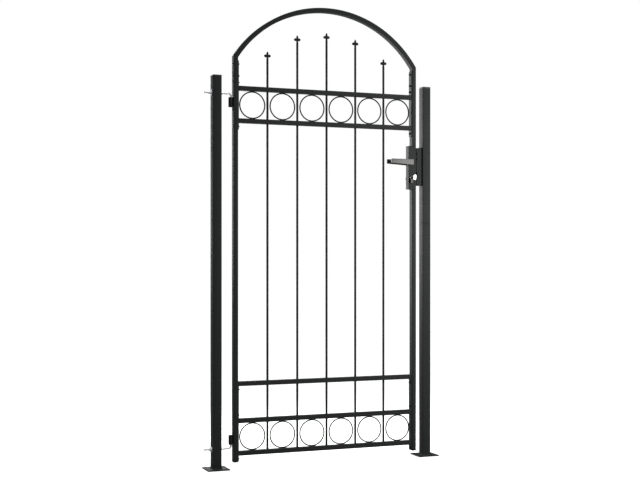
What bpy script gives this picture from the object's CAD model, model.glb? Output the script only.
import math
import random

import bmesh
import bpy
from mathutils import Matrix, Vector


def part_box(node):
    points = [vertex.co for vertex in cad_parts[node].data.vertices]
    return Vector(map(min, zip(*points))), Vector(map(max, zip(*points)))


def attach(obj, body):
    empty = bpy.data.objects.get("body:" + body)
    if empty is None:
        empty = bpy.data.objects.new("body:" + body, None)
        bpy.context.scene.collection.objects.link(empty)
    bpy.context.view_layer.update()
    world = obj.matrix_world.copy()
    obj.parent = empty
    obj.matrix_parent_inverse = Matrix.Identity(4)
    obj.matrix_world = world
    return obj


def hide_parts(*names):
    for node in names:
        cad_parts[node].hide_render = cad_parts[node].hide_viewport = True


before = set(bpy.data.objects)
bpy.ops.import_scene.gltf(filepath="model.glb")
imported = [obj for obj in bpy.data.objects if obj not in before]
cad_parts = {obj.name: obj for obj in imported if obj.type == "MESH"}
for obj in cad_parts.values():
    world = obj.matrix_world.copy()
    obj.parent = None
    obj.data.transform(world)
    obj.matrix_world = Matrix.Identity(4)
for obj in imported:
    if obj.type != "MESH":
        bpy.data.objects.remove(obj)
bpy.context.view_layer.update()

# A garden gate: an arched leaf of steel tube and bars, hung on hook bolts
# between two square posts.  X runs from the hinge post to the lock post, the
# front faces -Y and Z is up.


# ---------------------------------------------------------------------------
# Posts.  Two lengths of 40 mm square steel tube each, 1.5 mm thick, that butt
# over a sleeve at half height.  Roll formed, drilled, then powder coated.
# ---------------------------------------------------------------------------
MM = 0.001
POST_CORNER = 2 * MM
POST_WALL = 1.5 * MM
TUBE_END_BREAK = 0.7 * MM
TIGHTEST_CORNER = 0.3 * MM
DRILL_SIDES = 24
DRILL_PAST = 5 * MM
ROD_RADIUS = 5 * MM
CORNER_STEPS = 5
SMOOTH_BELOW = math.radians(32)


def linear(code):
    """An sRGB hex colour as linear red, green, blue and alpha."""
    channels = [int(code[start:start + 2], 16) / 255 for start in (1, 3, 5)]
    straight_part = 0.04045
    curved = [((channel + 0.055) / 1.055) ** 2.4 for channel in channels]
    return [c / 12.92 if c <= straight_part else bent for c, bent in zip(channels, curved)] + [1.0]


def add_node(tree, kind, settings, links=None):
    """Add a node, give it its settings, and link what feeds it."""
    node = tree.nodes.new(kind)
    for name, value in settings.items():
        if isinstance(name, int) or name in node.inputs:
            node.inputs[name].default_value = value
        else:
            setattr(node, name, value)
    for name, source in (links or {}).items():
        tree.links.new(source, node.inputs[name])
    return node


def start_finish(name, settings):
    """A new material with its surface shader and the place on the metal."""
    finish = bpy.data.materials.new(name)
    finish.use_nodes = True
    tree = finish.node_tree
    tree.nodes.clear()
    skin = add_node(tree, "ShaderNodeBsdfPrincipled", settings)
    add_node(tree, "ShaderNodeOutputMaterial", {}, {"Surface": skin.outputs["BSDF"]})
    spot = add_node(tree, "ShaderNodeTexCoord", {}).outputs["Object"]
    return finish, tree, skin, spot


def vary(tree, skin, pattern, colours, roughness):
    """Let a pattern shift the colour and the roughness of the surface."""
    ends = {"data_type": "RGBA", 6: linear(colours[0]), 7: linear(colours[1])}
    tone = add_node(tree, "ShaderNodeMix", ends, {0: pattern})
    tree.links.new(tone.outputs[2], skin.inputs["Base Color"])
    shine = add_node(tree, "ShaderNodeMapRange", {"To Min": roughness[0], "To Max": roughness[1]},
                     {"Value": pattern})
    tree.links.new(shine.outputs["Result"], skin.inputs["Roughness"])


def emboss(tree, skin, pattern, strength, height):
    """Raise the surface a little where the pattern is bright."""
    relief = add_node(tree, "ShaderNodeBump", {"Strength": strength, "Distance": height},
                      {"Height": pattern})
    tree.links.new(relief.outputs["Normal"], skin.inputs["Normal"])


# Polyester powder coat, near black with a green-grey cast.  Sprayed as powder
# and baked, it flows into a fine orange peel about 2 mm across and keeps a
# satin shine that varies a little with the film's thickness.
def make_powder_coat():
    peel_size = 2.2 * MM
    film_patch = 90 * MM
    finish, tree, skin, spot = start_finish("powder_coat_anthracite", {
        "IOR": 1.5, "Metallic": 0.0, "Specular IOR Level": 0.2})
    film = add_node(tree, "ShaderNodeTexNoise", {"Scale": 1 / film_patch, "Detail": 3.0},
                    {"Vector": spot}).outputs["Fac"]
    vary(tree, skin, film, ("#111413", "#151817"), (0.58, 0.68))
    peel = add_node(tree, "ShaderNodeTexNoise", {"Scale": 1 / peel_size, "Detail": 2.0},
                    {"Vector": spot}).outputs["Fac"]
    emboss(tree, skin, peel, 0.25, 0.06 * MM)
    return finish


powder_coat = make_powder_coat()


def rounded_rectangle(width, depth, corner):
    """The points of a rectangle with round corners, about the origin."""
    points = []
    centres = ((1, 1, 0), (-1, 1, 90), (-1, -1, 180), (1, -1, 270))
    for right, far, start in centres:
        for step in range(CORNER_STEPS + 1):
            turn = math.radians(start + 90 * step / CORNER_STEPS)
            points.append((
                right * (width / 2 - corner) + corner * math.cos(turn),
                far * (depth / 2 - corner) + corner * math.sin(turn),
            ))
    return points


def loft(shape, rings, closed=False):
    """Skin a run of rings with the same number of points."""
    rows = [[shape.verts.new(point) for point in ring] for ring in rings]
    count = len(rows[0])
    followers = rows[1:] + rows[:1] if closed else rows[1:]
    for row, after in zip(rows, followers):
        for index in range(count):
            beside = (index + 1) % count
            shape.faces.new((row[index], row[beside], after[beside], after[index]))
    if not closed:
        shape.faces.new(rows[0][::-1])
        shape.faces.new(rows[-1])


def put_on(shape, name, finish, slot, body, *stands_for):
    """Make a piece of the shape, coat it, and fix it to its body."""
    bmesh.ops.recalc_face_normals(shape, faces=shape.faces)
    mesh = bpy.data.meshes.new(name)
    shape.to_mesh(mesh)
    shape.free()
    mesh.polygons.foreach_set("use_smooth", [True] * len(mesh.polygons))
    mesh.set_sharp_from_angle(angle=SMOOTH_BELOW)
    piece = bpy.data.objects.new(name, mesh)
    bpy.context.scene.collection.objects.link(piece)
    mesh.materials.append(finish)
    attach(piece, body)
    if stands_for:
        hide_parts(*stands_for)
    return piece


def drill(piece, radius, along, starts, length):
    """Cut round holes that start at the given points."""
    bits = bmesh.new()
    turned = Vector((0, 0, 1)).rotation_difference(Vector(along)).to_matrix().to_4x4()
    for start in starts:
        middle = Vector(start) + Vector(along) * (length / 2)
        bmesh.ops.create_cone(bits, cap_ends=True, segments=DRILL_SIDES, radius1=radius, radius2=radius,
                              depth=length, matrix=Matrix.Translation(middle) @ turned)
    mesh = bpy.data.meshes.new("bits")
    bits.to_mesh(mesh)
    bits.free()
    cutter = bpy.data.objects.new("bits", mesh)
    bpy.context.scene.collection.objects.link(cutter)
    cut = piece.modifiers.new("holes", "BOOLEAN")
    cut.object = cutter
    cut.solver = "EXACT"
    seen = piece.evaluated_get(bpy.context.evaluated_depsgraph_get())
    drilled = bpy.data.meshes.new_from_object(seen)
    piece.modifiers.clear()
    piece.data = drilled
    bpy.data.objects.remove(cutter)


def square_tube(name, node, width, depth, corner, wall, body):
    """A length of tube standing up, with its sawn ends eased."""
    low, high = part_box(node)
    middle = (low + high) / 2
    shape = bmesh.new()

    def section(inset, height):
        inner_corner = max(corner - inset, TIGHTEST_CORNER)
        outline = rounded_rectangle(width - 2 * inset, depth - 2 * inset, inner_corner)
        return [Vector((middle.x + x, middle.y + y, height)) for x, y in outline]

    eased = TUBE_END_BREAK
    loft(shape, [
        section(eased, low.z), section(0, low.z + eased), section(0, high.z - eased),
        section(eased, high.z), section(wall, high.z), section(wall, low.z),
    ], closed=True)
    return put_on(shape, name, powder_coat, "powder_coat", body, node)


POST_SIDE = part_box("hinge_post_upper")[1].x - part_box("hinge_post_upper")[0].x
HOOK_HOLE = 5.3 * MM
upper_hook_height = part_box("upper_hook_bolt")[1].z - ROD_RADIUS
lower_hook_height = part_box("lower_hook_bolt")[0].z + ROD_RADIUS
hook_heights = (upper_hook_height, lower_hook_height)
for side in ("hinge", "lock"):
    for part, hook_height in (("upper", hook_heights[0]), ("lower", hook_heights[1])):
        node = f"{side}_post_{part}"
        post = square_tube(f"{side}_post_tube_{part}", node, POST_SIDE, POST_SIDE, POST_CORNER,
                           POST_WALL, "posts")
        if side == "hinge":
            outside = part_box(node)[0].x - DRILL_PAST
            drill(post, HOOK_HOLE, (1, 0, 0), [(outside, 0, hook_height)], POST_SIDE + 2 * DRILL_PAST)


# ---------------------------------------------------------------------------
# Base plates.  Squares of 5 mm steel plate with four anchor holes, laser cut
# and welded all round the foot of each post before coating.
# ---------------------------------------------------------------------------
PLATE_CORNER = 2 * MM
PLATE_BREAK = 0.6 * MM
ANCHOR_HOLE = 5 * MM
ANCHOR_REACH = 37 * MM
WELD_RADIUS = 2.6 * MM
WELD_RIPPLE = 2.2 * MM
WELD_SIDES = 8
WELD_END = 0.35


def pipe(shape, path, radii, up, closed=False, sides=16):
    """Sweep a circle along a path, with a radius for each point."""
    rings = []
    last = len(path) - 1
    for index, (point, radius) in enumerate(zip(path, radii)):
        before = path[index - 1] if index or closed else point
        after = path[(index + 1) % len(path)] if index < last or closed else point
        ahead = (after - before).normalized()
        side = ahead.cross(up).normalized()
        over = side.cross(ahead)
        turns = [2 * math.pi * step / sides for step in range(sides)]
        rings.append([
            point + radius * (math.cos(turn) * side + math.sin(turn) * over) for turn in turns
        ])
    loft(shape, rings, closed)


def weld_run(shape, path, radius, up, closed=False, seed=1):
    """A bead of weld metal along a path, with the ripples of each puddle."""
    chance = random.Random(seed)
    ripples = [0.92 + 0.12 * (step % 2) for step in range(len(path))]
    radii = [radius * (ripple + chance.uniform(-0.05, 0.05)) for ripple in ripples]
    if not closed:
        radii[0] = radii[-1] = radius * WELD_END
    pipe(shape, path, radii, up, closed, WELD_SIDES)


def along_outline(outline, spacing):
    """Evenly spaced points round a closed outline."""
    corners = outline + outline[:1]
    lengths = [(after - before).length for before, after in zip(corners, corners[1:])]
    count = int(sum(lengths) / spacing) // 2 * 2
    step = sum(lengths) / count
    points = []
    reached = 0.0
    goal = 0.0
    for before, after, length in zip(corners, corners[1:], lengths):
        while goal < reached + length - 1e-9 and len(points) < count:
            points.append(before.lerp(after, (goal - reached) / length))
            goal += step
        reached += length
    return points


for side in ("hinge", "lock"):
    low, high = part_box(f"{side}_base_plate")
    middle = (low + high) / 2
    width = high.x - low.x
    plate = bmesh.new()
    levels = [
        (PLATE_BREAK, low.z), (0, low.z + PLATE_BREAK),
        (0, high.z - PLATE_BREAK), (PLATE_BREAK, high.z),
    ]
    rings = []
    for inset, height in levels:
        outline = rounded_rectangle(width - 2 * inset, width - 2 * inset, PLATE_CORNER)
        rings.append([Vector((middle.x + x, y, height)) for x, y in outline])
    loft(plate, rings)
    made = put_on(plate, f"{side}_foot_plate", powder_coat, "powder_coat", "posts",
                  f"{side}_base_plate")
    below = low.z - DRILL_PAST
    corners = [
        (middle.x + a * ANCHOR_REACH, b * ANCHOR_REACH, below) for a in (-1, 1) for b in (-1, 1)
    ]
    drill(made, ANCHOR_HOLE, (0, 0, 1), corners, 3 * DRILL_PAST)

    foot_side = POST_SIDE + WELD_RADIUS
    foot = rounded_rectangle(foot_side, foot_side, POST_CORNER + WELD_RADIUS / 2)
    line = [Vector((middle.x + x, y, high.z + 0.4 * WELD_RADIUS)) for x, y in foot]
    bead = bmesh.new()
    path = along_outline(line, WELD_RIPPLE)
    weld_run(bead, path, WELD_RADIUS, Vector((0, 0, 1)), closed=True, seed=3)
    put_on(bead, f"{side}_foot_weld", powder_coat, "powder_coat", "posts")


# ---------------------------------------------------------------------------
# Post caps.  Injection-moulded black polyethylene, pressed into the tube's
# mouth, with a slightly crowned top that sheds rain.
# ---------------------------------------------------------------------------
CAP_EDGE = 2.5 * MM
CAP_CROWN = 1.2 * MM
CAP_LEAD = 2 * MM
MOULD_BREAK = 0.4 * MM


# Black polyethylene: a soft sheen and the fine spark-eroded grain that the
# mould leaves, about half a millimetre, drawn at 1.2 mm so that it shows.
def make_moulded_plastic():
    grain_size = 1.2 * MM
    finish, tree, skin, spot = start_finish("moulded_polyethylene", {"IOR": 1.51, "Metallic": 0.0})
    grain = add_node(tree, "ShaderNodeTexNoise", {"Scale": 1 / grain_size, "Detail": 4.0},
                     {"Vector": spot}).outputs["Fac"]
    vary(tree, skin, grain, ("#0e0f0f", "#151616"), (0.45, 0.6))
    emboss(tree, skin, grain, 0.3, 0.05 * MM)
    return finish


moulded_plastic = make_moulded_plastic()

for side in ("hinge", "lock"):
    low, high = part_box(f"{side}_post_cap")
    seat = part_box(f"{side}_post_upper")[1].z
    middle = (low + high) / 2
    width = high.x - low.x
    stub = POST_SIDE - 2 * POST_WALL - MOULD_BREAK
    edge_top = high.z - CAP_CROWN
    levels = [
        (stub - CAP_LEAD, low.z), (stub, low.z + CAP_LEAD), (stub, seat), (width - MOULD_BREAK, seat),
        (width, seat + MOULD_BREAK), (width, edge_top - CAP_EDGE),
        (width - 0.6 * CAP_EDGE, edge_top - 0.3 * CAP_EDGE), (width - 2 * CAP_EDGE, edge_top),
        (width / 2, high.z - 0.3 * CAP_CROWN), (width / 6, high.z),
    ]
    cap = bmesh.new()
    rings = []
    for across, height in levels:
        outline = rounded_rectangle(across, across, min(POST_CORNER, across / 3))
        rings.append([Vector((middle.x + x, y, height)) for x, y in outline])
    loft(cap, rings)
    put_on(cap, f"{side}_cap", moulded_plastic, "black_plastic", "posts", f"{side}_post_cap")


# ---------------------------------------------------------------------------
# Hook bolts.  M10 rod with a rolled thread where it passes the post, bent to
# a 90 degree pin that the barrel hangs on.  Bright zinc plated, with a washer
# and a nut on the outside of the post.
# ---------------------------------------------------------------------------
THREAD_PITCH = 1.5 * MM
THREAD_DEPTH = 0.8 * MM
THREAD_RINGS = 5
THREAD_INSIDE_POST = 4 * MM
BEND_RADIUS = 12 * MM
BEND_STEPS = 16
PIN_CHAMFER = 1.2 * MM
PIN_TIP = 0.78
NUT_FLATS = 17 * MM
NUT_BORE_GAP = 0.25 * MM
NUT_CHAMFER = 0.9 * MM
WASHER_BREAK = 0.3 * MM
ROUND_SIDES = 32


# Electroplated zinc: a bright bluish metal skin over steel.  The bath leaves
# faint clouds of shine some 15 mm across and the tumbling fine scuffs.
def make_zinc_plate():
    cloud_size = 15 * MM
    scuff_size = 0.8 * MM
    finish, tree, skin, spot = start_finish("bright_zinc_plate", {"Metallic": 1.0})
    cloud = add_node(tree, "ShaderNodeTexNoise", {"Scale": 1 / cloud_size, "Detail": 3.0},
                     {"Vector": spot}).outputs["Fac"]
    vary(tree, skin, cloud, ("#e6e8ec", "#f4f6f8"), (0.3, 0.46))
    scuff = add_node(tree, "ShaderNodeTexNoise", {"Scale": 1 / scuff_size, "Detail": 2.0},
                     {"Vector": spot}).outputs["Fac"]
    emboss(tree, skin, scuff, 0.12, 0.03 * MM)
    return finish


zinc_plate = make_zinc_plate()


def cross_ring(x, height, radius_at):
    """A ring of points round a rod that runs along X."""
    ring = []
    for step in range(ROUND_SIDES):
        turn = 2 * math.pi * step / ROUND_SIDES
        radius = radius_at(x, turn)
        ring.append(Vector((x, radius * math.cos(turn), height + radius * math.sin(turn))))
    return ring


def thread_radius(x, turn):
    """The radius of a rolled right-hand thread."""
    phase = (x / THREAD_PITCH - turn / (2 * math.pi)) % 1.0
    return ROD_RADIUS - THREAD_DEPTH * abs(2 * phase - 1)


POST_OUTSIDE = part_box("hinge_post_upper")[0].x
POST_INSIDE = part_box("hinge_post_upper")[1].x
for name, way in (("upper", -1), ("lower", 1)):
    low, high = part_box(f"{name}_hook_bolt")
    height = high.z - ROD_RADIUS if way < 0 else low.z + ROD_RADIUS
    pin_x = high.x - ROD_RADIUS
    pin_end = low.z if way < 0 else high.z
    rings = [cross_ring(low.x, height, lambda x, turn: ROD_RADIUS - 1.4 * THREAD_DEPTH)]
    steps = int((POST_INSIDE - low.x - THREAD_INSIDE_POST) / THREAD_PITCH * THREAD_RINGS)
    for step in range(1, steps):
        rings.append(cross_ring(low.x + step * THREAD_PITCH / THREAD_RINGS, height, thread_radius))
    smooth_start = POST_INSIDE - 0.75 * THREAD_INSIDE_POST
    rings.append(cross_ring(smooth_start, height, lambda x, turn: ROD_RADIUS))
    bend_x = pin_x - BEND_RADIUS
    rings.append(cross_ring(bend_x, height, lambda x, turn: ROD_RADIUS))
    for step in range(1, BEND_STEPS + 1):
        turn = math.radians(90 * step / BEND_STEPS)
        centre_z = height + way * BEND_RADIUS * (1 - math.cos(turn))
        centre = Vector((bend_x + BEND_RADIUS * math.sin(turn), 0, centre_z))
        out = Vector((-way * math.sin(turn), 0, math.cos(turn)))
        ring = []
        for side in range(ROUND_SIDES):
            spin = 2 * math.pi * side / ROUND_SIDES
            across = math.cos(spin) * Vector((0, 1, 0)) + math.sin(spin) * out
            ring.append(centre + ROD_RADIUS * across)
        rings.append(ring)
    last = rings[-1]
    tip = Vector((0, 0, pin_end - last[0].z))
    pin_axis = Vector((pin_x, 0, pin_end))
    rings.append([point + tip - Vector((0, 0, way * PIN_CHAMFER)) for point in last])
    rings.append([pin_axis + (point + tip - pin_axis) * PIN_TIP for point in last])
    hook = bmesh.new()
    loft(hook, rings)
    put_on(hook, f"{name}_hook", zinc_plate, "zinc_steel", "posts", f"{name}_hook_bolt")


def nut_ring(flats, limit, place, level, corner_count=6, points=48):
    """One ring of a hexagon whose corners a chamfer limits to a radius."""
    ring = []
    for step in range(points):
        turn = 2 * math.pi * step / points
        half_face = math.pi / corner_count
        within = (turn + half_face) % (2 * half_face) - half_face
        radius = min(flats / 2 / math.cos(within), limit)
        ring.append(place @ Vector((radius * math.cos(turn), radius * math.sin(turn), level)))
    return ring


def round_ring(radius, place, level, points=48):
    """One ring of a turned part."""
    turns = [2 * math.pi * step / points for step in range(points)]
    return [place @ Vector((radius * math.cos(turn), radius * math.sin(turn), level)) for turn in turns]


washers = bmesh.new()
nuts = bmesh.new()
washer_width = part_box("hook_washers")[1].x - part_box("hook_washers")[0].x
nut_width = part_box("hook_nuts")[1].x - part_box("hook_nuts")[0].x
washer_radius = (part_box("hook_washers")[1].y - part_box("hook_washers")[0].y) / 2
for height in hook_heights:
    out = Matrix.Translation((POST_OUTSIDE, 0, height)) @ Matrix.Rotation(math.radians(-90), 4, "Y")
    edge = WASHER_BREAK
    bore = ROD_RADIUS + NUT_BORE_GAP
    loft(washers, [
        round_ring(bore, out, 0), round_ring(washer_radius - edge, out, 0),
        round_ring(washer_radius, out, edge), round_ring(washer_radius, out, washer_width - edge),
        round_ring(washer_radius - edge, out, washer_width), round_ring(bore, out, washer_width),
    ], closed=True)
    corner = NUT_FLATS / math.sqrt(3)
    low_level = washer_width
    top_level = washer_width + nut_width
    loft(nuts, [
        round_ring(bore, out, low_level),
        nut_ring(NUT_FLATS, NUT_FLATS / 2, out, low_level),
        nut_ring(NUT_FLATS, corner, out, low_level + NUT_CHAMFER),
        nut_ring(NUT_FLATS, corner, out, top_level - NUT_CHAMFER),
        nut_ring(NUT_FLATS, NUT_FLATS / 2 + 0.5 * MM, out, top_level - 0.4 * MM),
        nut_ring(NUT_FLATS, NUT_FLATS / 2 - 0.4 * MM, out, top_level),
        round_ring(bore + 0.6 * MM, out, top_level),
        round_ring(bore, out, top_level - 0.6 * MM),
    ], closed=True)
put_on(washers, "hook_bolt_washers", zinc_plate, "zinc_steel", "posts", "hook_washers")
put_on(nuts, "hook_bolt_nuts", zinc_plate, "zinc_steel", "posts", "hook_nuts")


# ---------------------------------------------------------------------------
# Hinge barrels.  Turned sleeves of 20 mm steel welded to the hinge stile down
# both sides, with a short run of weld past the end of each.
# ---------------------------------------------------------------------------
BARREL_RADIUS = 10 * MM
BARREL_BORE = 5.08 * MM
BARREL_BREAK = 0.8 * MM
BARREL_WELD = 2.1 * MM
BARREL_WELD_REACH = 6.2 * MM
BARREL_WELD_GAP = 0.9 * MM
RUN_OUT_WELD = 1.9 * MM
RUN_OUT_STEPS = 9
STILE_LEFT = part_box("hinge_stile")[0].x
hinge_x = STILE_LEFT - BARREL_RADIUS
barrel_welds = bmesh.new()
for name, way in (("upper", -1), ("lower", 1)):
    low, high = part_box(f"{name}_hinge_barrel")
    upright = Matrix.Translation((hinge_x, 0, 0))
    barrel = bmesh.new()
    loft(barrel, [
        round_ring(BARREL_BORE, upright, low.z),
        round_ring(BARREL_RADIUS - BARREL_BREAK, upright, low.z),
        round_ring(BARREL_RADIUS, upright, low.z + BARREL_BREAK),
        round_ring(BARREL_RADIUS, upright, high.z - BARREL_BREAK),
        round_ring(BARREL_RADIUS - BARREL_BREAK, upright, high.z),
        round_ring(BARREL_BORE, upright, high.z),
    ], closed=True)
    put_on(barrel, f"{name}_barrel", powder_coat, "powder_coat", "leaf", f"{name}_hinge_barrel")
    for side in (-1, 1):
        count = int((high.z - low.z) / WELD_RIPPLE)
        line = [
            Vector((STILE_LEFT - BARREL_WELD_GAP, side * BARREL_WELD_REACH,
                    low.z + (high.z - low.z) * step / count))
            for step in range(count + 1)
        ]
        weld_run(barrel_welds, line, BARREL_WELD, Vector((1, 0, 0)), seed=10 + side)
    end = low.z if way < 0 else high.z
    run_out = [
        Vector((STILE_LEFT - 0.2 * MM, 0, end + way * step * WELD_RIPPLE))
        for step in range(RUN_OUT_STEPS)
    ]
    weld_run(barrel_welds, run_out, RUN_OUT_WELD, Vector((0, 1, 0)), seed=20 + way)
put_on(barrel_welds, "barrel_welds", powder_coat, "powder_coat", "leaf")


# ---------------------------------------------------------------------------
# Stiles.  30 by 20 mm tube.  The latch stile stops at the lock box and starts
# again above it, and both stiles end at the splice with the arch.
# ---------------------------------------------------------------------------
STILE_WIDTH = 20 * MM
STILE_DEPTH = 30 * MM
STILE_CORNER = 1.6 * MM
STILE_WALL = 1.5 * MM
PLUG_EDGE = 1.6 * MM
LEAF_LEFT, LEAF_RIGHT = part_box("arch")[0].x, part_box("arch")[1].x
for name in ("hinge_stile", "latch_stile_lower", "latch_stile_upper"):
    square_tube(f"{name}_tube", name, STILE_WIDTH, STILE_DEPTH, STILE_CORNER, STILE_WALL, "leaf")

foot_plugs = bmesh.new()
low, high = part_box("stile_foot_plugs")
stile_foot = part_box("hinge_stile")[0].z
for middle_x in (LEAF_LEFT + STILE_WIDTH / 2, LEAF_RIGHT - STILE_WIDTH / 2):
    rings = []
    inner = STILE_WALL + MOULD_BREAK / 2
    for inset, height in (
        (PLUG_EDGE, low.z), (0.7 * MM, low.z + 0.5 * MM), (0, low.z + PLUG_EDGE), (0, stile_foot),
        (inner, stile_foot), (inner, high.z - 1 * MM), (inner + 0.6 * MM, high.z),
    ):
        outline = rounded_rectangle(STILE_WIDTH - 2 * inset, STILE_DEPTH - 2 * inset, STILE_CORNER)
        rings.append([Vector((middle_x + x, y, height)) for x, y in outline])
    loft(foot_plugs, rings)
put_on(foot_plugs, "foot_plugs", moulded_plastic, "black_plastic", "leaf", "stile_foot_plugs")


# ---------------------------------------------------------------------------
# Arch.  The same tube bent to one radius on a roller and mitre welded to a
# short leg at each side, which slips over a connector in the stile.
# ---------------------------------------------------------------------------
ARCH_STEPS = 72
BORE_CORNER = 0.5 * MM
arch_low, arch_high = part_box("arch")
SHOULDER = 1799 * MM
half_span = (arch_high.x - arch_low.x) / 2
middle_x = (arch_high.x + arch_low.x) / 2
arch_rise = arch_high.z - SHOULDER
arch_radius = (half_span ** 2 + arch_rise ** 2) / (2 * arch_rise)
arch_centre = arch_high.z - arch_radius


def arch_stations(inset):
    """Outer and inner points of the tube from the left foot to the right."""
    outer_radius = arch_radius - inset
    inner_radius = arch_radius - STILE_WIDTH + inset
    outer_side = half_span - inset
    inner_side = half_span - STILE_WIDTH + inset
    outer_start = math.asin(outer_side / outer_radius)
    inner_start = math.asin(inner_side / inner_radius)
    pairs = []
    for height in (arch_low.z, arch_low.z + TUBE_END_BREAK):
        pairs.append(((-outer_side, height), (-inner_side, height)))
    for step in range(ARCH_STEPS + 1):
        share = 2 * step / ARCH_STEPS - 1
        outer, inner = outer_start * share, inner_start * share
        pairs.append((
            (outer_radius * math.sin(outer), arch_centre + outer_radius * math.cos(outer)),
            (inner_radius * math.sin(inner), arch_centre + inner_radius * math.cos(inner)),
        ))
    for height in (arch_low.z + TUBE_END_BREAK, arch_low.z):
        pairs.append(((outer_side, height), (inner_side, height)))
    return pairs


def arch_ring(outer, inner, depth, corner, eased=0.0):
    """A rounded section between an outer and an inner point."""
    span = math.dist(outer, inner)
    ring = []
    for across, far in rounded_rectangle(span - 2 * eased, depth - 2 * eased, corner):
        share = 0.5 + across / span
        x = outer[0] + (inner[0] - outer[0]) * share
        z = outer[1] + (inner[1] - outer[1]) * share
        ring.append(Vector((middle_x + x, far, z)))
    return ring


arch = bmesh.new()
outside = arch_stations(0)
skin_rings = [
    arch_ring(*pair, STILE_DEPTH, STILE_CORNER, TUBE_END_BREAK if index in (0, len(outside) - 1) else 0.0)
    for index, pair in enumerate(outside)
]
bore_depth = STILE_DEPTH - 2 * STILE_WALL
bore_rings = [arch_ring(*pair, bore_depth, BORE_CORNER) for pair in arch_stations(STILE_WALL)]
loft(arch, skin_rings + bore_rings[::-1], closed=True)
put_on(arch, "arch_tube", powder_coat, "powder_coat", "leaf", "arch")


# ---------------------------------------------------------------------------
# Panel.  Five rails between flat end strips, with round bars through them and
# rings between, all MIG welded in a jig and coated as one piece.
# ---------------------------------------------------------------------------
BAR_RADIUS = 5 * MM
RING_WIRE = 3 * MM
STRIP_THICK = 4 * MM
BAR_WELD = 1.3 * MM
RING_STEPS = 96
WELD_STEPS = 28
SPEAR_LENGTH = 52 * MM
SPEAR_DROP = 20.5 * MM
SPEAR_SIDES = 24
LOBE_SIDES = 20
BAR_BREAK = 0.5 * MM
WELD_SEAT = 0.3 * MM
RING_WELD = 1.1 * MM
RING_SIDES = 18


def dress(node, finish):
    """Give a part that keeps its own shape its finish."""
    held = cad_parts[node]
    if not held.material_slots:
        held.data.materials.append(finish)
    for holder in held.material_slots:
        holder.material = finish


for node in (["rail_%d" % number for number in range(1, 6)] + ["upper_end_strips", "lower_end_strips",
             "arch_connectors", "hinge_post_sleeve", "lock_post_sleeve"]):
    dress(node, powder_coat)

rail_boxes = [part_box("rail_%d" % number) for number in range(1, 6)]
bar_boxes = [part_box("bar_%d" % number) for number in range(1, 6)]
bar_welds = bmesh.new()
for number, (low, high) in enumerate(bar_boxes, start=1):
    middle = (low.x + high.x) / 2
    upright = Matrix.Translation((middle, 0, 0))
    levels = [(BAR_RADIUS - BAR_BREAK, low.z), (BAR_RADIUS, low.z + BAR_BREAK), (BAR_RADIUS, high.z)]
    bar = bmesh.new()
    loft(bar, [round_ring(radius, upright, level, ROUND_SIDES) for radius, level in levels])
    put_on(bar, f"round_bar_{number}", powder_coat, "powder_coat", "leaf", f"bar_{number}")
    for rail_low, rail_high in rail_boxes:
        for level, way in ((rail_low.z, -1), (rail_high.z, 1)):
            if level <= low.z:
                continue
            seam = Matrix.Translation((middle, 0, 0))
            line = round_ring(BAR_RADIUS + WELD_SEAT, seam, level + way * WELD_SEAT, WELD_STEPS)
            seed = int(level * 1000) + number
            weld_run(bar_welds, line, BAR_WELD, Vector((0, 0, 1)), closed=True, seed=seed)
put_on(bar_welds, "bar_welds", powder_coat, "powder_coat", "leaf")

# The spears are cast: a socket that narrows to a neck, a round knot with a
# lobe at each side, and a leaf-shaped point.  Each pair is a radius and how
# far along it is, in millimetres.
spears = bmesh.new()
SPEAR_PROFILE = [
    (5.0, 0.0), (5.2, 0.8), (5.2, 2.2), (5.0, 3.0), (5.0, 12.0), (4.8, 18.0), (4.4, 22.0),
    (4.3, 24.5), (4.8, 26.5), (6.6, 28.0), (8.6, 31.5), (7.8, 34.5), (5.8, 37.5), (4.8, 39.5),
    (4.5, 41.5), (4.5, 43.5), (4.0, 46.0), (2.8, 48.0), (1.4, 50.6), (0.3, 52.0),
]
LOBE_PROFILE = [
    (7.0, 1.0), (6.6, 3.5), (6.2, 5.5), (6.4, 7.5), (6.6, 9.4), (6.0, 11.6), (4.5, 13.6),
    (2.3, 15.1), (0.3, 15.5),
]


def cast_part(profile, place, sides):
    """One turned length of a spear, from a profile in millimetres."""
    loft(spears, [round_ring(radius * MM, place, level * MM, sides) for radius, level in profile])


for low, high in bar_boxes:
    middle = (low.x + high.x) / 2
    cast_part(SPEAR_PROFILE, Matrix.Translation((middle, 0, high.z)), SPEAR_SIDES)
    for way in (-1, 1):
        sideways = (Matrix.Translation((middle, 0, high.z + SPEAR_LENGTH - SPEAR_DROP))
                    @ Matrix.Rotation(math.radians(90 * way), 4, "Y"))
        cast_part(LOBE_PROFILE, sideways, LOBE_SIDES)
put_on(spears, "spear_finials", powder_coat, "powder_coat", "leaf", "finials")

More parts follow.
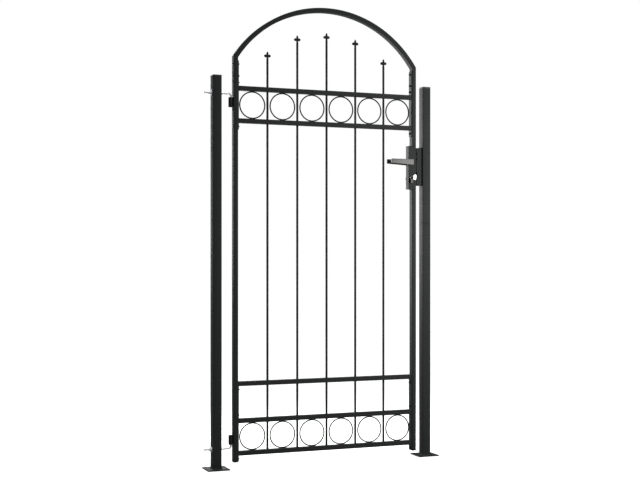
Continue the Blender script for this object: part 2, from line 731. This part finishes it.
ring_welds = bmesh.new()
for name, above, below in (("upper_rings", 0, 1), ("lower_rings", 3, 4)):
    low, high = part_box(name)
    radius = (high.z - low.z) / 2 - RING_WIRE
    height = (high.z + low.z) / 2
    edges = [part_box("upper_end_strips")[0].x + STRIP_THICK] + [(a.x + b.x) / 2 for a, b in bar_boxes]
    edges.append(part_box("upper_end_strips")[1].x - STRIP_THICK)
    rings = bmesh.new()
    for index, (left, right) in enumerate(zip(edges, edges[1:])):
        left_face = left + (BAR_RADIUS if index else 0)
        right_face = right - (BAR_RADIUS if index < len(bar_boxes) else 0)
        middle = (left_face + right_face) / 2
        turns = [2 * math.pi * step / RING_STEPS for step in range(RING_STEPS)]
        line = [
            Vector((middle + radius * math.cos(turn), 0, height + radius * math.sin(turn)))
            for turn in turns
        ]
        pipe(rings, line, [RING_WIRE] * RING_STEPS, Vector((0, 1, 0)), closed=True, sides=RING_SIDES)
        for way in (-1, 1):
            level = height + way * (radius + RING_WIRE)
            for far in (-1, 1):
                tack = [
                    Vector((middle + step * 1.5 * MM, far * 2.4 * MM, level - way * 0.8 * MM))
                    for step in range(-3, 4)
                ]
                weld_run(ring_welds, tack, RING_WELD, Vector((0, 0, 1)), seed=40 + index)
    put_on(rings, f"{name[:5]}_ring_row", powder_coat, "powder_coat", "leaf", name)
put_on(ring_welds, "ring_welds", powder_coat, "powder_coat", "leaf")


# ---------------------------------------------------------------------------
# Panel screws.  M6 button-head screws through stile and strip into dome nuts,
# black oxide finished, seven down each side.
# ---------------------------------------------------------------------------
HEAD_RADIUS = 5 * MM
HEAD_HEIGHT = 1.8 * MM
SHANK_RADIUS = 3 * MM
SOCKET_FLATS = 4 * MM
DOME_NUT_FLATS = 10 * MM
DOME_NUT_HEIGHT = 3 * MM
DOME_RADIUS = 4 * MM
HEAD_SHOULDER = 1.3 * MM
HEAD_RIM = 0.6 * MM
SOCKET_DEPTH = 1.3 * MM


# Black oxide on steel: a thin oiled conversion layer that darkens the metal
# without hiding it, so it keeps a soft metallic gleam and tiny brown clouds.
def make_black_oxide():
    cloud_size = 3 * MM
    finish, tree, skin, spot = start_finish("black_oxide_steel", {"Metallic": 0.6, "IOR": 1.5})
    cloud = add_node(tree, "ShaderNodeTexNoise", {"Scale": 1 / cloud_size, "Detail": 3.0},
                     {"Vector": spot}).outputs["Fac"]
    vary(tree, skin, cloud, ("#161616", "#262321"), (0.32, 0.46))
    return finish


black_oxide = make_black_oxide()

screw_levels = [1766, 1714, 1685, 1493, 343, 231, 39]
screws = bmesh.new()
dome_nuts = bmesh.new()
for level in screw_levels:
    for outside, inward in ((LEAF_LEFT, 1), (LEAF_RIGHT, -1)):
        inwards = (Matrix.Translation((outside, 0, level * MM))
                   @ Matrix.Rotation(math.radians(90 * inward), 4, "Y"))
        grip = STILE_WIDTH + STRIP_THICK
        nut_end = grip + DOME_NUT_HEIGHT
        socket = SOCKET_FLATS / math.sqrt(3)
        loft(screws, [
            nut_ring(SOCKET_FLATS, socket, inwards, SOCKET_DEPTH - HEAD_HEIGHT),
            nut_ring(SOCKET_FLATS, socket, inwards, -HEAD_HEIGHT),
            round_ring(0.62 * HEAD_RADIUS, inwards, -HEAD_HEIGHT),
            round_ring(0.85 * HEAD_RADIUS, inwards, -HEAD_SHOULDER),
            round_ring(0.97 * HEAD_RADIUS, inwards, -HEAD_RIM),
            round_ring(HEAD_RADIUS, inwards, 0), round_ring(SHANK_RADIUS, inwards, 0),
            round_ring(SHANK_RADIUS, inwards, nut_end - 0.5 * MM),
            round_ring(SHANK_RADIUS - 0.5 * MM, inwards, nut_end),
        ])
        turns = [math.radians(turn) for turn in (0, 18, 36, 54, 70, 84)]
        dome = [
            (DOME_RADIUS * math.cos(turn), nut_end + DOME_RADIUS * math.sin(turn)) for turn in turns
        ]
        bore = SHANK_RADIUS + 0.2 * MM
        corner = DOME_NUT_FLATS / math.sqrt(3)
        loft(dome_nuts, [
            round_ring(0.3 * MM, inwards, nut_end + 0.4 * MM),
            round_ring(bore, inwards, nut_end + 0.2 * MM), round_ring(bore, inwards, grip),
            nut_ring(DOME_NUT_FLATS, corner, inwards, grip),
            nut_ring(DOME_NUT_FLATS, corner, inwards, nut_end - 0.6 * MM),
            nut_ring(DOME_NUT_FLATS, DOME_NUT_FLATS / 2 - 0.3 * MM, inwards, nut_end),
        ] + [round_ring(radius, inwards, height) for radius, height in dome])
put_on(screws, "panel_screws", black_oxide, "black_steel", "leaf", "panel_bolts")
put_on(dome_nuts, "dome_nuts", black_oxide, "black_steel", "leaf", "panel_dome_nuts")


# ---------------------------------------------------------------------------
# Lock.  A folded 2 mm steel box welded into the latch stile, with a steel
# forend, latch and deadbolt.  The follower and its spring are inside.
# ---------------------------------------------------------------------------
BOX_WELD = 1.5 * MM
dress("lock_box", powder_coat)
for node in ("lock_forend", "latch_bolt", "deadbolt", "lock_follower", "follower_spring", "lever_spindle",
             "cylinder_cam", "cylinder_screw", "forend_screws"):
    dress(node, zinc_plate)

box_low, box_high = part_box("lock_box")
box_welds = bmesh.new()
for level, way in ((box_low.z, -1), (box_high.z, 1)):
    outline = rounded_rectangle(STILE_WIDTH + BOX_WELD * 0.4, STILE_DEPTH - 0.2 * MM, STILE_CORNER)
    stile_middle = LEAF_RIGHT - STILE_WIDTH / 2
    seam_level = level + way * 0.2 * MM
    shown = [(x, y) for x, y in outline if x < STILE_WIDTH / 2 - 1 * MM]
    seam = [Vector((stile_middle + x, y, seam_level)) for x, y in shown]
    seam.sort(key=lambda point: math.atan2(point.y, -(point.x - stile_middle)))
    points = []
    for before, after in zip(seam, seam[1:]):
        pieces = max(1, round((after - before).length / WELD_RIPPLE))
        points += [before.lerp(after, part / pieces) for part in range(pieces)]
    weld_run(box_welds, points + [seam[-1]], BOX_WELD, Vector((0, 0, 1)), seed=60 + way)
put_on(box_welds, "lock_box_welds", powder_coat, "powder_coat", "leaf")


# ---------------------------------------------------------------------------
# Levers.  Flat tapered handles pressed from aluminium on a square spindle, the
# front one lacquered grey and the rear one black like the gate.  A turned
# collar stands each off the box.
# ---------------------------------------------------------------------------
LEVER_EDGE = 1.6 * MM
LEVER_THICK = 9 * MM
LEVER_END = 20 * MM
COLLAR_RADIUS = 7.5 * MM
COLLAR_BREAK = 0.4 * MM
FRONT_CORNER = 3 * MM


# Grey lacquer over aluminium: satin, with a fine metallic flake some 0.3 mm
# across, drawn at 0.8 mm so that it shows.
def make_grey_lacquer():
    flake_size = 0.8 * MM
    finish, tree, skin, spot = start_finish("grey_lacquered_aluminium", {"Metallic": 0.25, "IOR": 1.5})
    flake = add_node(tree, "ShaderNodeTexNoise", {"Scale": 1 / flake_size, "Detail": 2.0},
                     {"Vector": spot}).outputs["Fac"]
    vary(tree, skin, flake, ("#494847", "#545352"), (0.48, 0.58))
    emboss(tree, skin, flake, 0.1, 0.02 * MM)
    return finish


grey_lacquer = make_grey_lacquer()


def slab(shape, outline, low_y, high_y, edge):
    """A flat blank cut to an outline, with its edges rounded."""
    near = [shape.verts.new((x, low_y, z)) for x, z in outline]
    far = [shape.verts.new((x, high_y, z)) for x, z in outline]
    faces = [shape.faces.new(near), shape.faces.new(far[::-1])]
    for index in range(len(near)):
        beside = (index + 1) % len(near)
        shape.faces.new((near[beside], near[index], far[index], far[beside]))
    rims = [rim for face in faces for rim in face.edges]
    bmesh.ops.recalc_face_normals(shape, faces=shape.faces)
    bmesh.ops.bevel(shape, geom=rims, offset=edge, segments=3, profile=0.5, affect="EDGES")


def soften(corners, radius):
    """The outline with each corner turned into an arc."""
    points = []
    for index, corner in enumerate(corners):
        here = Vector(corner)
        before = (Vector(corners[index - 1]) - here).normalized()
        after = (Vector(corners[(index + 1) % len(corners)]) - here).normalized()
        half = before.angle(after) / 2
        centre = here + (before + after).normalized() * (radius / math.sin(half))
        reach = radius / math.tan(half)
        start, end = here + before * reach - centre, here + after * reach - centre
        for step in range(CORNER_STEPS + 1):
            share = step / CORNER_STEPS
            points.append(tuple(centre + (start.lerp(end, share)).normalized() * radius))
    return points


spindle_x = (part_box("lever_spindle")[0].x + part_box("lever_spindle")[1].x) / 2
spindle_z = (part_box("lever_spindle")[0].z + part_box("lever_spindle")[1].z) / 2
for name, way, lacquer in (("front", -1, grey_lacquer), ("rear", 1, powder_coat)):
    low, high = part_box(f"{name}_lever")
    outer_y = low.y if way < 0 else high.y
    seat_y = outer_y - way * LEVER_THICK
    box_y = box_low.y if way < 0 else box_high.y
    outline = soften([
        (high.x, low.z), (high.x, high.z), (low.x, high.z), (low.x, high.z - LEVER_END),
    ], FRONT_CORNER)
    lever = bmesh.new()
    slab(lever, outline, min(outer_y, seat_y), max(outer_y, seat_y), LEVER_EDGE)
    outwards = (Matrix.Translation((spindle_x, box_y, spindle_z))
                @ Matrix.Rotation(math.radians(-90 * way), 4, "X"))
    collar_height = abs(seat_y - box_y)
    loft(lever, [
        round_ring(COLLAR_RADIUS - COLLAR_BREAK, outwards, 0.05 * MM),
        round_ring(COLLAR_RADIUS, outwards, 0.05 * MM + COLLAR_BREAK),
        round_ring(COLLAR_RADIUS, outwards, collar_height - 2 * COLLAR_BREAK),
        round_ring(COLLAR_RADIUS + 2 * COLLAR_BREAK, outwards, collar_height + COLLAR_BREAK / 2),
    ])
    put_on(lever, f"{name}_handle", lacquer, "lever_grey", "lever", f"{name}_lever")


# ---------------------------------------------------------------------------
# Cylinder and key.  A blackened profile cylinder that shows at both faces,
# with a flat nickel-plated key whose bow widens away from the lock.
# ---------------------------------------------------------------------------
# Nickel plate over brass: warm bright metal.  The key blank is drawn and
# tumbled, which leaves fine lines along it some 0.4 mm apart, drawn at 0.8 mm.
def make_nickel_plate():
    line_size = 0.8 * MM
    finish, tree, skin, spot = start_finish("nickel_plated_brass", {"Metallic": 1.0})
    stretch = add_node(tree, "ShaderNodeMapping", {"Scale": (1.0, 0.08, 1.0)}, {"Vector": spot})
    lines = add_node(tree, "ShaderNodeTexNoise", {"Scale": 1 / line_size, "Detail": 2.0},
                     {"Vector": stretch.outputs["Vector"]}).outputs["Fac"]
    vary(tree, skin, lines, ("#8f8c87", "#a19e98"), (0.3, 0.42))
    emboss(tree, skin, lines, 0.1, 0.02 * MM)
    return finish


nickel_plate = make_nickel_plate()
for node in ("cylinder_body", "cylinder_plug"):
    dress(node, black_oxide)

KEY_EDGE = 0.35 * MM
KEY_HOLE = 3.5 * MM
KEY_HOLE_INSET = 8 * MM
BLADE_HALF = 4 * MM
BLADE_TIP_HALF = 1.5 * MM
BLADE_TIP = 2.5 * MM
NECK_HALF = 5.5 * MM
NECK_LENGTH = 4 * MM
SHOULDER_OUT = 5 * MM
BOW_STRAIGHT = 12 * MM
BOW_CORNER = 4 * MM
CUT_START = 1.2 * MM
low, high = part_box("key")
key_z = (low.z + high.z) / 2
bow_half = (high.z - low.z) / 2
face_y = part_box("cylinder_body")[0].y
blade_end = high.y
shoulder_y = face_y - SHOULDER_OUT
neck_y = shoulder_y - NECK_LENGTH
bow_y = low.y + BOW_STRAIGHT
# Each cut is how far it lies from the tip and its height over the middle.
CUTS = [(0.0, 3.4), (2.6, 1.6), (5.4, 3.0), (8.2, 0.9), (11.0, 2.4), (13.8, 1.3), (16.6, 3.2)]
blade_top = [(blade_end - CUT_START - along * MM, key_z + height * MM) for along, height in CUTS]
key_outline = [
    (blade_end, key_z - BLADE_TIP_HALF), (blade_end - BLADE_TIP, key_z - BLADE_HALF),
    (shoulder_y, key_z - BLADE_HALF), (shoulder_y, key_z - NECK_HALF), (neck_y, key_z - NECK_HALF),
    (bow_y, key_z - bow_half), (low.y + BOW_CORNER, key_z - bow_half),
    (low.y, key_z - bow_half + BOW_CORNER), (low.y, key_z + bow_half - BOW_CORNER),
    (low.y + BOW_CORNER, key_z + bow_half), (bow_y, key_z + bow_half), (neck_y, key_z + NECK_HALF),
    (shoulder_y, key_z + NECK_HALF), (shoulder_y, key_z + BLADE_HALF),
    (face_y + 2 * MM, key_z + BLADE_HALF),
] + [(y, z) for y, z in reversed(blade_top)]
key_shape = bmesh.new()
slab(key_shape, key_outline, low.x, high.x, KEY_EDGE)
quarter_turn = Matrix(((0, 1, 0, 0), (1, 0, 0, 0), (0, 0, 1, 0), (0, 0, 0, 1)))
bmesh.ops.transform(key_shape, matrix=quarter_turn, verts=key_shape.verts)
key = put_on(key_shape, "flat_key", nickel_plate, "nickel", "key_plug", "key")
hole_start = (low.x - DRILL_PAST, low.y + KEY_HOLE_INSET, key_z)
drill(key, KEY_HOLE, (1, 0, 0), [hole_start], 2 * DRILL_PAST + 2 * MM)


# ---------------------------------------------------------------------------
# Keep.  A folded steel channel on a back plate, screwed to the lock post, with
# scallops in its front corner that let the latch and the deadbolt in.
# ---------------------------------------------------------------------------
dress("keep", powder_coat)
dress("keep_screws", black_oxide)


# ---------------------------------------------------------------------------
# Studio.  A pale seamless floor under a broad soft light from above, with
# softboxes at the right front, the left rear and the left side.
# ---------------------------------------------------------------------------
FLOOR_REACH = 40.0


# White paper, mottled by its pulp.  It looks white but gives back only part of
# its light to the gate, as a floor does with black flags beside it.
def make_pale_floor():
    finish, tree, skin, spot = start_finish("pale_studio_paper", {"Roughness": 0.9, "IOR": 1.3})
    pulp = add_node(tree, "ShaderNodeTexNoise", {"Scale": 0.8, "Detail": 2.0}, {"Vector": spot})
    white = {"data_type": "RGBA", 6: linear("#fcfcfc"), 7: linear("#fefefe")}
    tone = add_node(tree, "ShaderNodeMix", white, {0: pulp.outputs["Fac"]})
    looked_at = add_node(tree, "ShaderNodeLightPath", {}).outputs["Is Camera Ray"]
    soaked = add_node(tree, "ShaderNodeMix", {"data_type": "RGBA", 6: linear("#8c8c8c")},
                      {0: looked_at, 7: tone.outputs[2]})
    tree.links.new(soaked.outputs[2], skin.inputs["Base Color"])
    return finish


floor_shape = bmesh.new()
bmesh.ops.create_grid(floor_shape, x_segments=1, y_segments=1, size=FLOOR_REACH)
floor_mesh = bpy.data.meshes.new("studio_floor")
floor_shape.to_mesh(floor_mesh)
floor_shape.free()
floor_mesh.materials.append(make_pale_floor())
floor = bpy.data.objects.new("studio_floor", floor_mesh)
bpy.context.scene.collection.objects.link(floor)

world = bpy.data.worlds.new("studio_white")
world.use_nodes = True
room = world.node_tree
room.nodes.clear()
sight = add_node(room, "ShaderNodeLightPath", {})
fill = add_node(room, "ShaderNodeBackground", {"Color": linear("#ffffff"), "Strength": 0.2})
seen = add_node(room, "ShaderNodeBackground", {"Color": linear("#ffffff"), "Strength": 1.0})
blend = add_node(room, "ShaderNodeMixShader", {},
                 {0: sight.outputs["Is Camera Ray"], 1: fill.outputs[0], 2: seen.outputs[0]})
add_node(room, "ShaderNodeOutputWorld", {}, {"Surface": blend.outputs[0]})
bpy.context.scene.world = world


def add_light(name, kind, energy, place, aim, **settings):
    lamp = bpy.data.lights.new(name, kind)
    lamp.energy = energy
    for setting, value in settings.items():
        setattr(lamp, setting, value)
    holder = bpy.data.objects.new(name, lamp)
    bpy.context.scene.collection.objects.link(holder)
    holder.location = place
    holder.visible_camera = False
    holder.rotation_euler = (Vector(aim) - Vector(place)).to_track_quat("-Z", "Y").to_euler()


add_light("overhead_softness", "SUN", 2.95, (0, 0, 6), (0.2, 0.3, 0), angle=math.radians(60))
softboxes = [
    ("right_front_softbox", 62, (1.7, -1.7, 1.35), (0.5, 0, 1.2), 1.2, 1.1),
    ("left_rear_softbox", 50, (-0.35, 1.7, 1.55), (0.5, 0, 1.45), 0.9, 1.5),
    ("left_side_softbox", 18, (-2.6, 1.4, 1.4), (-0.4, 0, 1.3), 1.2, 1.6),
]
for name, energy, place, aim, width, height in softboxes:
    add_light(name, "AREA", energy, place, aim, shape="RECTANGLE", size=width, size_y=height)


# ---------------------------------------------------------------------------
# Camera.  Low and level, left of the gate, looking a little to the right.
# ---------------------------------------------------------------------------
lens = bpy.data.cameras.new("studio_camera")
lens.sensor_width = 36
lens.lens = 66.53
lens.shift_y = 0.026
camera = bpy.data.objects.new("studio_camera", lens)
bpy.context.scene.collection.objects.link(camera)
camera.location = (-1.981, -4.939, 0.9236)
camera.rotation_euler = (math.radians(90), 0, math.radians(-21.66))
bpy.context.scene.camera = camera
bpy.context.scene.view_settings.view_transform = "Standard"
